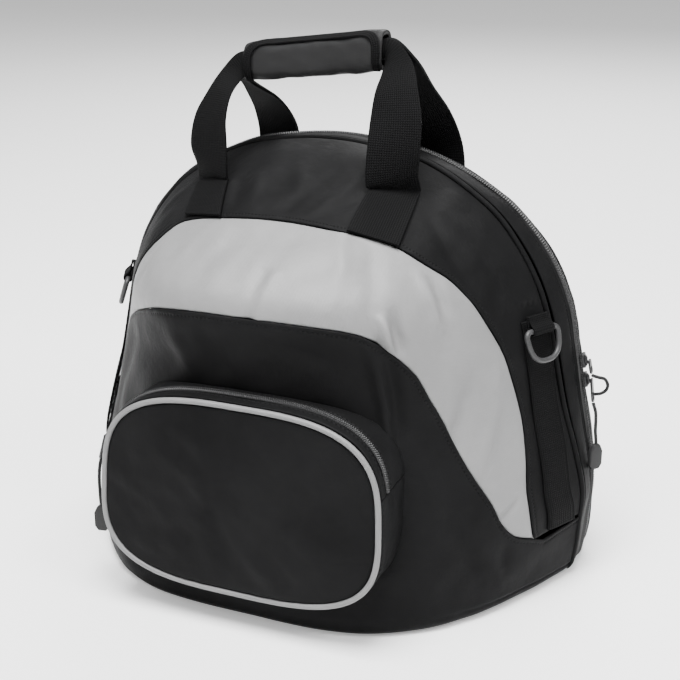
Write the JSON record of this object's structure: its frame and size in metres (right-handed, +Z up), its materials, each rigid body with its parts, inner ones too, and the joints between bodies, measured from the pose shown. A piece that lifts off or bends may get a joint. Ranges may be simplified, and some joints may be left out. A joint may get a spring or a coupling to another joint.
{
  "type": "motorcycle helmet bag",
  "caption": "Domed zipped bag on a flat base for carrying a crash helmet, with a rounded front pocket, twin webbing handles in one padded grip, and a D-ring on each side",
  "frame": {"origin": "on the flat base, in the bag's middle plane, under the front piping", "axes": "+Z up, -Y towards the front pocket, X along the grip"},
  "size_m": [0.4318, 0.2544, 0.4124],
  "materials": {
    "black_nylon": "satin woven nylon",
    "grey_nylon": "satin woven nylon with a fine diagonal weave",
    "black_piping": "corded piping",
    "grey_piping": "satin corded piping",
    "zip_tape": "woven zip tape",
    "zip_coil": "nylon coil",
    "zip_metal": "black lacquered die casting",
    "pull_cord": "braided cord",
    "pull_end": "moulded plastic",
    "webbing": "ribbed webbing",
    "binding": "ribbed binding tape",
    "ring_plastic": "moulded plastic"
  },
  "bodies": {
    "bag": {"top_panel": "black_nylon", "grey_band": "grey_nylon", "lower_panel": "black_nylon", "base_panel": "black_nylon", "back_panel": "black_nylon", "front_piping": "black_piping", "rear_piping": "black_piping", "gusset_front": "black_nylon", "gusset_rear": "black_nylon", "zip_tape": "zip_tape", "zip_coil": "zip_coil", "zip_slider_upper": "zip_metal", "zip_slider_lower": "zip_metal", "zip_tab_upper": "zip_metal", "zip_tab_lower": "zip_metal", "pull_cord_lower": "pull_cord", "pull_cord_upper": "pull_cord", "pull_end_lower": "pull_end", "pocket_piping": "grey_piping", "pocket_face": "black_nylon", "pocket_strip_front": "black_nylon", "pocket_strip_rear": "black_nylon", "pocket_wall_lower": "black_nylon", "pocket_zip_tape": "zip_tape", "pocket_zip_coil": "zip_coil", "pocket_slider": "zip_metal", "pocket_tab": "zip_metal", "pocket_pull_cord": "pull_cord", "pocket_pull_end": "pull_end", "handle_front": "webbing", "handle_rear": "webbing", "handle_grip": "black_nylon", "grip_binding": "binding", "side_strap_right": "webbing", "side_strap_left": "webbing", "d_ring_tab_right": "webbing", "d_ring_tab_left": "webbing"},
    "d_ring_right": {"d_ring_right": "ring_plastic"},
    "d_ring_left": {"d_ring_left": "ring_plastic"}
  },
  "joints": [
    {"name": "d_ring_right_hinge", "type": "hinge", "parent": "bag", "child": "d_ring_right", "pos_m": [0.1747, -0.01669, 0.20425], "axis": [-0.4671, -0.8842, 0], "range_deg": [0, 110]},
    {"name": "d_ring_left_hinge", "type": "hinge", "parent": "bag", "child": "d_ring_left", "pos_m": [-0.1747, -0.01669, 0.20425], "axis": [-0.4671, 0.8842, 0], "range_deg": [0, 110]}
  ]
}
